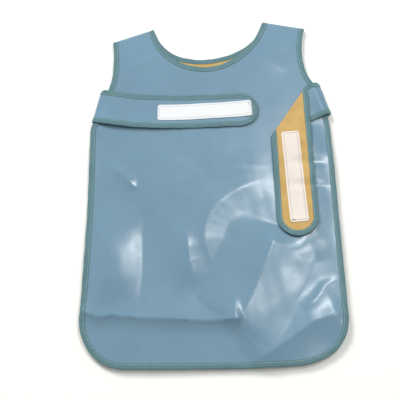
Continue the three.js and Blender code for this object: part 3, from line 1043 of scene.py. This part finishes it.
VINYL_LIGHT = (0.144, 0.250, 0.334)
VINYL_DARK = (0.129, 0.226, 0.306)
VINYL_DUST = (0.168, 0.272, 0.352)
TAPE_LIGHT = (0.095, 0.190, 0.215)
TAPE_DARK = (0.066, 0.146, 0.166)
TAPE_THREAD = (0.135, 0.245, 0.270)
LINING_LIGHT = (0.560, 0.378, 0.142)
LINING_DARK = (0.455, 0.292, 0.098)
PILE_LIGHT = (0.800, 0.815, 0.830)
PILE_SHADE = (0.560, 0.580, 0.600)
HOOK_LIGHT = (0.860, 0.800, 0.750)
HOOK_SHADE = (0.560, 0.500, 0.450)
LEAD_LIGHT = (0.060, 0.062, 0.065)
LEAD_SHADE = (0.035, 0.036, 0.038)
vinyl = coated_vinyl()
tape = woven_tape()
lining = woven_lining()
lead = leaded_vinyl()
loops = pile("loop_pile", PILE_LIGHT, PILE_SHADE)
hook_ground = pile("hook_ground", HOOK_LIGHT, HOOK_SHADE)
hooks = plastic_hooks()
teal_thread = sewing_thread("teal_thread", (0.40, 0.58, 0.57), (0.30, 0.46, 0.46))
grey_thread = sewing_thread("grey_thread", (0.46, 0.48, 0.50), (0.34, 0.36, 0.38))
brown_thread = sewing_thread("brown_thread", (0.40, 0.34, 0.30), (0.28, 0.23, 0.20))


# ---- the two panels ----
COVER_SETBACK = TAPE + 0.0003
LEAD_SETBACK = 0.010
LEAD_STOP = 0.012                 # the lead ends this far short of the shoulders
GRID = 0.004


def along_part(line, first, last):
    """The stretch of a line between the points nearest to two given ones."""
    i = np.argmin(np.linalg.norm(line - first, axis=1))
    j = np.argmin(np.linalg.norm(line - last, axis=1))
    return line[i : j + 1]


def panel_loop(edge, neck, setback):
    return np.vstack([edge - outward(edge) * setback, neck - outward(neck) * setback])


def shoulder_limit(loop, stop):
    """Pulls a loop's ends back from the shoulders."""
    for shoulder in SHOULDERS:
        past = np.maximum(shoulder.beyond(loop) + stop, 0) * shoulder.on_its_side(loop)
        loop = loop - np.outer(past, shoulder.out)
    return loop


def corner_wrinkle(line):
    """Puckers are stronger where the tape is eased round the lower right corner."""
    return 1 + 2.2 * hump(np.linalg.norm(line - LOWER_RIGHT_CORNER, axis=1) / 0.05)


def make_panel(side, neck_curve, place, creases, layers_at):
    """side is "front" or "rear". layers_at gives the cover's, lead's and lining's two faces."""
    edge = outer_edge(0 if side == "front" else REAR_INSET)
    neck = neck_edge(neck_curve)
    outline = panel_loop(edge, neck, COVER_SETBACK)
    turns = [shoulder_turn(s, r) for s in SHOULDERS for r in TURN_ROWS]
    cut = cut_cloth(outline, GRID, turns + creases)
    lead_outline = shoulder_limit(panel_loop(edge, neck, LEAD_SETBACK), LEAD_STOP)
    lead_cut = cut_cloth(lead_outline, GRID * 2)
    layers = (
        ("cover", "outer_vinyl", outline, cut, vinyl, "cover_vinyl"),
        ("lead_sheet", "lead_core", lead_outline, lead_cut, lead, "lead_vinyl"),
        ("lining", "lining_cloth", outline, cut, lining, "lining_cloth"),
    )
    for (node, cloth_name, loop, cloth_cut, material, slot), faces_at in zip(layers, layers_at):
        piece = sheet_piece(f"{side}_{cloth_name}", cloth_cut, place, faces_at, material, slot)
        declare_cut(loop)
        settle_piece(piece, "root", f"{side}_{node}")
    lines = {
        "left_armhole": resample(along_part(edge, edge[0], UNDERARM_LEFT), CURVE_SPACING),
        "side_and_hem": along_part(edge, UNDERARM_LEFT, UNDERARM_RIGHT),
        "right_armhole": resample(along_part(edge, UNDERARM_RIGHT, edge[-1]), CURVE_SPACING),
        "neck": resample(neck, CURVE_SPACING),
    }
    outer_face = PANEL_HALF if side == "front" else -PANEL_HALF
    threads = []
    for number, (part, line) in enumerate(lines.items()):
        wrinkle = corner_wrinkle if part == "side_and_hem" else None
        name = f"{side}_{part}_tape"
        binding = tape_piece(name, line, place, PANEL_HALF, wrinkle=wrinkle, seed=number + 1)
        settle_piece(binding, "root", f"{side}_{part}_binding")
        threads += stitch_row(line, place, outer_face)
    settle_piece(thread_piece(f"{side}_binding_stitches", threads, teal_thread), "root")


TURN_ROWS = np.linspace(0, QUARTER_TURN * 0.85, 4)


def shoulder_turn(shoulder, past):
    """A row of points across a shoulder where the cloth turns over."""
    start = shoulder.middle + shoulder.out * past - shoulder.along * 0.02
    return resample(np.array([start, start + shoulder.along * (shoulder.length + 0.05)]), 0.003)


make_panel(
    "front",
    FRONT_NECK,
    place_front,
    [resample(fold, GRID) for fold in (LEDGE, CORNER_CREASE, DIAGONAL)],
    PANEL_LAYERS,
)
make_panel(
    "rear",
    REAR_NECK,
    place_rear,
    [],
    [(-lower, -upper) for upper, lower in PANEL_LAYERS],
)


# ---- shoulder seams ----
SEAM_OUT = 0.0013                 # how far the roll stands out past the shoulders, and its half height
SEAM_HEIGHT = 0.0019
SEAM_DEPTH = 0.005                # the strips' ends are sewn in this far behind the roll
SEAM_ROWS = 50
SEAM_WAVE = 0.0068                # the thread pulls the roll in once in this length
LINING_SEAM_BACK = -0.0032
LINING_SEAM_RADII = 0.0012, 0.0026
SEAM_THREAD_PITCH = 0.0034
SEAM_THREAD_SLANT = 0.0026
SEAM_THREAD_RADIUS = 0.00032
SEAM_THREAD_TURN = 1.7            # radians round the roll, from its middle to each end of a stitch


def seam_placer(shoulder):
    """Positions from lengths along a shoulder, out past it and above its middle."""
    foot = shoulder.middle + shoulder.out * (SHOULDER_RADIUS + 0.0009)

    def position(along, out, up):
        xy = foot + np.outer(along, shoulder.along) + np.outer(out, shoulder.out)
        return np.column_stack([xy, FOLD_MIDDLE_Z + up])

    return position


def folded_strip(name, node, shoulder, radii, centre, thick, material, slot):
    """Cloth folded round a shoulder seam: an arc of an ellipse, with both ends sewn in behind it."""
    turn = np.linspace(-2.0, 2.0, 15)
    bend = np.column_stack([centre + radii[0] * np.cos(turn), radii[1] * np.sin(turn)])
    sewn_in = bend[-1] - (SEAM_DEPTH, radii[1] * 0.6)
    arm = sewn_in + np.outer(np.linspace(0, 0.8, 4), bend[-1] - sewn_in)
    middle = join(arm * (1, -1), bend, arm[::-1])
    side_way = outward(middle) * thick / 2
    ring = np.vstack([middle + side_way, (middle - side_way)[::-1]])
    stations = np.linspace(0.001, shoulder.length - 0.001, SEAM_ROWS)
    swell = 1 + 0.04 * np.sin(stations * 2 * math.pi / SEAM_WAVE)
    along = np.repeat(stations, len(ring))
    up = np.outer(swell, ring[:, 1]).ravel()
    points = seam_placer(shoulder)(along, np.tile(ring[:, 0], SEAM_ROWS), up)
    vertices, faces = swept(points.reshape(SEAM_ROWS, len(ring), 3))
    cloth = np.column_stack([along, up, 0 * along])
    piece = add_piece(name, vertices, faces, cloth, material, slot)
    lengths_along(middle)[-1]
    settle_piece(piece, "root", node)


def shoulder_thread(name, shoulder):
    """Slanting stitches over the rolled seam."""
    turn = np.linspace(-SEAM_THREAD_TURN, SEAM_THREAD_TURN, 7)
    slant = SEAM_THREAD_SLANT * turn / (2 * SEAM_THREAD_TURN)
    out = SEAM_OUT * np.cos(turn) * 1.08
    up = SEAM_HEIGHT * np.sin(turn) * 1.06
    across = np.append(shoulder.along, 0)
    parts = []
    for along in np.arange(0.005, shoulder.length - 0.005, SEAM_THREAD_PITCH):
        line = seam_placer(shoulder)(along + slant, out, up)
        other = np.cross(tangents(line), across)
        parts.append(tube(line, across, other, SEAM_THREAD_RADIUS, THREAD_SIDES))
    settle_piece(thread_piece(name, parts, teal_thread), "root")


def make_shoulder_seam(side, shoulder):
    """The rolled seam along a shoulder, the lining's seam allowance behind it, and the thread."""
    names = f"{side}_shoulder_roll", f"{side}_shoulder_cover_fold"
    folded_strip(*names, shoulder, (SEAM_OUT, SEAM_HEIGHT), 0, TAPE, tape, "binding_tape")
    names = f"{side}_shoulder_lining_seam", f"{side}_shoulder_lining_fold"
    shape = LINING_SEAM_RADII, LINING_SEAM_BACK, LINING
    folded_strip(*names, shoulder, *shape, lining, "lining_cloth")
    shoulder_thread(f"{side}_shoulder_thread", shoulder)


make_shoulder_seam("left", LEFT_SHOULDER)
make_shoulder_seam("right", RIGHT_SHOULDER)


# ---- the straps ----
STRAP_GRID = 0.004
FINE = 0.0012
STRAP_COVER = COVER_ON_STRAP + COVER, COVER_ON_STRAP
STRAP_LINING = -0.0002, -0.0002 - LINING
STRIP_LENGTH = 0.210
STRIP_WIDTH = 0.038
STRIP_CORNER = 0.005
STRIP_SEAM = 0.0042               # the thread runs this far inside the strip's edge
STRIP_GROOVE = 0.00040            # how far that thread pulls the strip in
STRIP_FOOT = 0.0007               # the strip's underside, from the strap's middle surface
CLIMB_ON_TAPE = 0.0008            # how much higher its end lies, where it covers the strap's tape
TUFT_SIZE = 0.0045
BAR_LENGTH = 0.008                # the bar of stitches at one of its corners
BAR_STITCHES = 9
CURVE_DEPTH_STEP = 0.0010


def across_strap(strap, s_of_t, reach=1.06):
    """A row of points across a strap, with s as a function of t."""
    t = np.linspace(-reach, reach, 24) * strap.end_half_width
    return np.column_stack([s_of_t(t), t])


def level_rows(strap, stations):
    return [across_strap(strap, lambda t, s=s: np.full_like(t, s)) for s in stations]


def cap_wrinkle(strap):
    """Puckers are stronger where the tape is eased round the strap's end."""
    return lambda line: 1 + ease((line[:, 0] - strap.length + 0.02) / 0.03)


def bind_strap(name, stitches_name, node, line, place, strength, seed):
    """The tape along a strap's edge, with thread on both of its faces."""
    binding = tape_piece(name, line, place, STRAP_HALF, CURVE_DEPTH_STEP, strength, seed)
    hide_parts(node)
    threads = stitch_row(line, place, STRAP_HALF) + stitch_row(line, place, -STRAP_HALF)
    return [binding, thread_piece(stitches_name, threads, teal_thread)]


def bend_along(pieces, progress):
    """Puts progress, a function of (s, t) that goes from 0 to 1, into the pieces' vertices for a moment,
    bakes their transforms and then puts their positions back as they were.
    """
    for piece in pieces:
        places = piece.data.vertices
        curled = np.empty(len(places) * 3)
        places.foreach_get("co", curled)
        unrolled = np.zeros_like(curled)
        unrolled[::3] = progress(*flat_places[piece.name].T)
        places.foreach_set("co", unrolled)
        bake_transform(piece)
        places.foreach_set("co", curled)
        piece.data.update()


def past_hinge(s, t):
    """0 where a strap's turn leaves the apron, 1 where it comes back over the hinge line."""
    return 1 + s / HALF_TURN


def strap_layers(name, outline, place, folds, turned_node):
    """The outer vinyl and the lining of one strap, or of one part of it."""
    loop = outline - closed_outward(outline) * COVER_SETBACK
    cut = cut_cloth(loop, STRAP_GRID, folds)
    layers = (
        ("outer_vinyl", STRAP_COVER, vinyl, "cover_vinyl", (f"{name}_cover", turned_node)),
        ("lining_cloth", STRAP_LINING, lining, "lining_cloth", (f"{name}_lining",)),
    )
    pieces = []
    for cloth_name, offsets, material, slot, nodes in layers:
        piece = sheet_piece(f"{name}_{cloth_name}", cut, place, offsets, material, slot)
        declare_cut(loop)
        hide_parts(*nodes)
        pieces.append(piece)
    return pieces


def closed_outward(loop):
    """Unit vectors out of a closed anticlockwise outline."""
    along = np.roll(loop, -1, axis=0) - np.roll(loop, 1, axis=0)
    along /= np.linalg.norm(along, axis=1)[:, None]
    return np.column_stack([along[:, 1], -along[:, 0]])


def strip_loop():
    """The rounded outline of a fastener strip about its own middle."""
    half = at(STRIP_LENGTH / 2, STRIP_WIDTH / 2)
    corners = []
    for quarter, sign in enumerate(((1, -1), (1, 1), (-1, 1), (-1, -1))):
        turn = np.linspace(0, math.pi / 2, 5) + (quarter - 1) * math.pi / 2
        centre = (half - STRIP_CORNER) * sign
        corners.append(centre + STRIP_CORNER * np.column_stack([np.cos(turn), np.sin(turn)]))
    return resample(np.vstack([*corners, corners[0][:1]]), 0.0015)[:-1]


class Strip:
    """A fastener strip sewn on a strap: where it lies, and the face of the strap it is on."""

    def __init__(self, place, centre, angle, face, edge_reach):
        self.place = place
        self.centre = centre
        turn = math.radians(angle)
        self.turn = np.array([[math.cos(turn), math.sin(turn)], [-math.sin(turn), math.cos(turn)]])
        self.face = face
        self.edge_reach = edge_reach

    def position(self, local, height):
        """Points at a height above the strap's face. Near its end the strip climbs on the tape."""
        flat = self.centre + local @ self.turn
        position, normal = self.place(flat)
        climb = CLIMB_ON_TAPE * ease((local[:, 0] - STRIP_LENGTH / 2 + self.edge_reach) / 0.008)
        offset = (STRIP_FOOT + climb + height) * self.face
        return position + normal * np.asarray(offset)[:, None], normal * self.face


def strip_base(name, strip, material, slot, spacing, base, roughness, seed):
    """The strip's ground: a thin closed sheet whose upper face is as rough as its pile."""
    loop = strip_loop()
    cut = cut_cloth(loop, spacing)
    flat = cut[0]
    rim = distance_to(loop, flat)
    rough = np.random.default_rng(seed).normal(0, roughness, len(flat))
    tufts = roughness * soft_noise(flat, TUFT_SIZE, seed + 1)
    top = base + (rough + tufts) * ease(rim / 0.0015) - 0.0003 * (1 - ease(rim / 0.0012))
    top -= STRIP_GROOVE * hump((rim - STRIP_SEAM) / 0.0009)
    upper, _ = strip.position(flat, top)
    lower, _ = strip.position(flat, np.zeros(len(flat)))
    piece = closed_sheet(name, cut, upper, lower, (1.0, 0.0), material, slot)
    return piece


def strip_stitches(name, strip, height, thread, slot):
    """A row of thread round the strip, and a dense bar of it across one corner."""

    def place(flat):
        return strip.position(flat, np.full(len(flat), height))

    loop = strip_loop()
    row = loop - closed_outward(loop) * STRIP_SEAM
    row = resample(np.vstack([row, row[:1]]), 0.0040)
    parts = stitch(place, row[:-1], tangents(row)[:-1], 0.0001, 0.0030, 0.00038)
    bar = np.outer(np.linspace(0, BAR_LENGTH, BAR_STITCHES), (0, 1))
    bar += at(STRIP_LENGTH / 2 - 0.005, STRIP_WIDTH / 2 - 0.011)
    heading = np.tile(unit(at(1, 0.35)), (BAR_STITCHES, 1))
    parts += stitch(place, bar, heading, 0.0001, 0.0032, 0.00030)
    return thread_piece(name, parts, thread, slot)


HOOK_PITCH = 0.0021
HOOK_RADIUS = 0.00017
HOOK_REACH = np.array([0.0, 0.00005, 0.00025, 0.00062, 0.00080])    # one hook's outline
HOOK_RISE = np.array([0.0, 0.00060, 0.00098, 0.00098, 0.00072])
HOOK_GROUND = 0.0006                   # thickness of the tape that the hooks stand on
HOOK_MARGIN = 0.004
HOOK_SCATTER = 0.00012


def hook_rows(name, strip):
    """Rows of small bent hooks, leaning along the strip in turn to each side."""
    half = at(STRIP_LENGTH, STRIP_WIDTH) / 2
    ends = half - HOOK_MARGIN
    columns, rows = [np.arange(-end, end + HOOK_PITCH / 4, HOOK_PITCH) for end in ends]
    random = np.random.default_rng(77)
    lines = []
    for i, x in enumerate(columns):
        for j, y in enumerate(rows):
            start = at(x, y) + random.normal(0, HOOK_SCATTER, 2)
            lean = 1 if (i + j) % 2 else -1
            lines.append(start + np.outer(HOOK_REACH * lean, (1, 0)))
    heights = np.tile(HOOK_RISE, len(lines)) + HOOK_GROUND
    centres, normals = strip.position(np.vstack(lines), heights)
    parts = []
    for centre, normal in zip(centres.reshape(-1, 5, 3), normals.reshape(-1, 5, 3)):
        side = np.cross(normal[0], unit(centre[3] - centre[1]))
        parts.append(tube(centre, side, np.cross(tangents(centre), side), HOOK_RADIUS, 4))
    return thread_piece(name, parts, hooks, "hook_tape")


TURN_STATIONS = np.append(np.linspace(-HALF_TURN, 0, 12), [0.003, 0.006, 0.010, 0.014])


def make_left_strap():
    place = place_left_strap
    outline = left_line.edge(ROOT_START, FINE)
    folds = level_rows(left_line, TURN_STATIONS)
    pieces = strap_layers("left_strap", outline, place, folds, "left_strap_root")
    names = "left_strap_tape", "left_strap_stitches", "left_strap_binding"
    pieces += bind_strap(*names, outline, place, cap_wrinkle(left_line), 21)
    bend_along(pieces, past_hinge)
    centre = at(left_line.length - 0.0795, -0.0005)
    strip = Strip(place, centre, angle=1.4, face=1, edge_reach=0.022)
    pile_shape = {"spacing": 0.0011, "base": 0.0014, "roughness": 0.00013, "seed": 51}
    base = strip_base("left_strap_loop_pile", strip, loops, "loop_pile", **pile_shape)
    settle_piece(base, "left_strap", "left_strap_loop_strip")
    stitches = strip_stitches("left_strap_loop_stitches", strip, 0.0011, grey_thread, "loop_pile")
    settle_piece(stitches, "left_strap")


def crease_row(past):
    """s as a function of t along a line that is parallel to the crease."""
    left = at(-end_heading[1], end_heading[0])
    shift = CREASE.beyond(crossing)
    return lambda t: crossing_s + (past - shift - t * (left @ CREASE.out)) / (
        end_heading @ CREASE.out
    )


def past_the_crease(s, t):
    """0 where the end's turn starts, 1 where it comes back over the crease."""
    return (s - crease_row(0)(t)) / (crease_row(CREASE_TURN)(t) - crease_row(0)(t))


SPLIT_DEPTH = 0.022                # the base and the turned end are separate cloth from here on


def split_row(t):
    """s along the line, hidden under the turned end, where the strap's two parts are sewn."""
    low, high = right_line.half_width(crossing_s) * at(-1, 1)
    at_upper_tip = crease_row(0)(np.array([low]))[0] - 0.002
    at_lower_edge = crease_row(-SPLIT_DEPTH)(np.array([high]))[0]
    return at_upper_tip + (at_lower_edge - at_upper_tip) * (t - low) / (high - low)


def make_right_strap():
    place = place_right_strap
    whole = right_line.edge(ROOT_START, FINE)
    before = whole[:, 0] < split_row(whole[:, 1])
    seam = across_strap(right_line, split_row, 1.0)
    half = len(whole) // 2
    upper_edge = whole[:half][before[:half]]
    lower_edge = whole[half:][before[half:]]
    end_edge = whole[~before]
    inner = seam[np.abs(seam[:, 1]) < right_line.half_width(crossing_s) - 0.001]
    base_outline = np.vstack([upper_edge, inner, lower_edge])
    end_outline = np.vstack([end_edge, inner[::-1]])
    folds = level_rows(right_line, TURN_STATIONS)
    base = strap_layers("right_strap", base_outline, place, folds, "right_strap_root")
    past_rows = np.append(np.linspace(0, CREASE_TURN, 9), CREASE_TURN + np.array([0.001, 0.003]))
    rows = [across_strap(right_line, crease_row(past)) for past in past_rows]
    end = strap_layers("right_strap_end", end_outline, place, rows, "right_strap_turn")
    edges = (
        (base, upper_edge, "upper", None),
        (base, lower_edge, "lower", None),
        (end, end_edge, "end", cap_wrinkle(right_line)),
    )
    for number, (pieces, line, part, strength) in enumerate(edges):
        name = f"right_strap_{part}"
        names = f"{name}_tape", f"{name}_tape_stitches", f"{name}_binding"
        pieces += bind_strap(*names, line, place, strength, 31 + number)
    bend_along(base, past_hinge)
    bend_along(end, past_the_crease)
    centre = at(crossing_s + turn_length + 0.1545, 0)
    strip = Strip(place, centre, angle=-1.7, face=-1, edge_reach=0.014)
    shape = {"spacing": 0.0014, "base": HOOK_GROUND, "roughness": 0.00006, "seed": 61}
    ground = strip_base("right_strap_hook_ground", strip, hook_ground, "hook_tape", **shape)
    settle_piece(ground, "right_strap_end", "right_strap_hook_strip")
    settle_piece(hook_rows("right_strap_hooks", strip), "right_strap_end")
    stitches = strip_stitches("right_strap_hook_stitches", strip, 0.0007, brown_thread, "hook_tape")
    settle_piece(stitches, "right_strap_end")


make_left_strap()
make_right_strap()


# ---- camera, floor and light ----
CAMERA_ELEVATION = math.radians(70)
CAMERA_DISTANCE = 1.5
VIEW_ANGLE = math.radians(32)
AIM = Vector((-0.028, -0.042, 0))


def make_camera():
    data = bpy.data.cameras.new("camera")
    data.sensor_width = 36
    data.lens_unit = "FOV"
    data.angle = VIEW_ANGLE
    camera = new_object("camera", data)
    back = Vector((0, -math.cos(CAMERA_ELEVATION), math.sin(CAMERA_ELEVATION)))
    camera.location = AIM + back * CAMERA_DISTANCE
    camera.rotation_euler = (math.pi / 2 - CAMERA_ELEVATION, 0, 0)
    bpy.context.scene.camera = camera


def make_floor():
    mesh = bpy.data.meshes.new("floor")
    reach = 4.0
    corners = [(-reach, -reach, 0), (reach, -reach, 0), (reach, reach, 0), (-reach, reach, 0)]
    mesh.from_pydata(corners, [], [(0, 1, 2, 3)])
    material = bpy.data.materials.new("floor_paper")
    material.use_nodes = True
    shader = material.node_tree.nodes["Principled BSDF"]
    shader.inputs["Base Color"].default_value = (0.82, 0.83, 0.80, 1)
    shader.inputs["Roughness"].default_value = 0.9
    shader.inputs["Specular IOR Level"].default_value = 0.1
    mesh.materials.append(material)
    new_object("floor", mesh)


def softbox(name, location, size, power):
    data = bpy.data.lights.new(name, "AREA")
    data.shape = "ELLIPSE"
    data.size, data.size_y = size
    data.energy = power
    light = new_object(name, data)
    light.location = location
    light.rotation_euler = (-Vector(location)).to_track_quat("-Z", "Y").to_euler()
    return light


def make_light():
    world = bpy.data.worlds.new("studio")
    world.use_nodes = True
    world.node_tree.nodes["Background"].inputs["Color"].default_value = (1.0, 0.99, 0.955, 1)
    world.node_tree.nodes["Background"].inputs["Strength"].default_value = 0.50
    bpy.context.scene.world = world
    softbox("left_fold_light", (0.76, 1.06, 2.81), (0.45, 0.70), 25)
    softbox("right_fold_light", (2.10, 0.31, 4.56), (0.75, 0.95), 36)
    window = softbox("window", (-2.4, 3.5, 3.4), (2.4, 2.0), 245)
    window.visible_glossy = False
    bpy.context.scene.view_settings.view_transform = "Standard"


make_camera()
make_floor()
make_light()
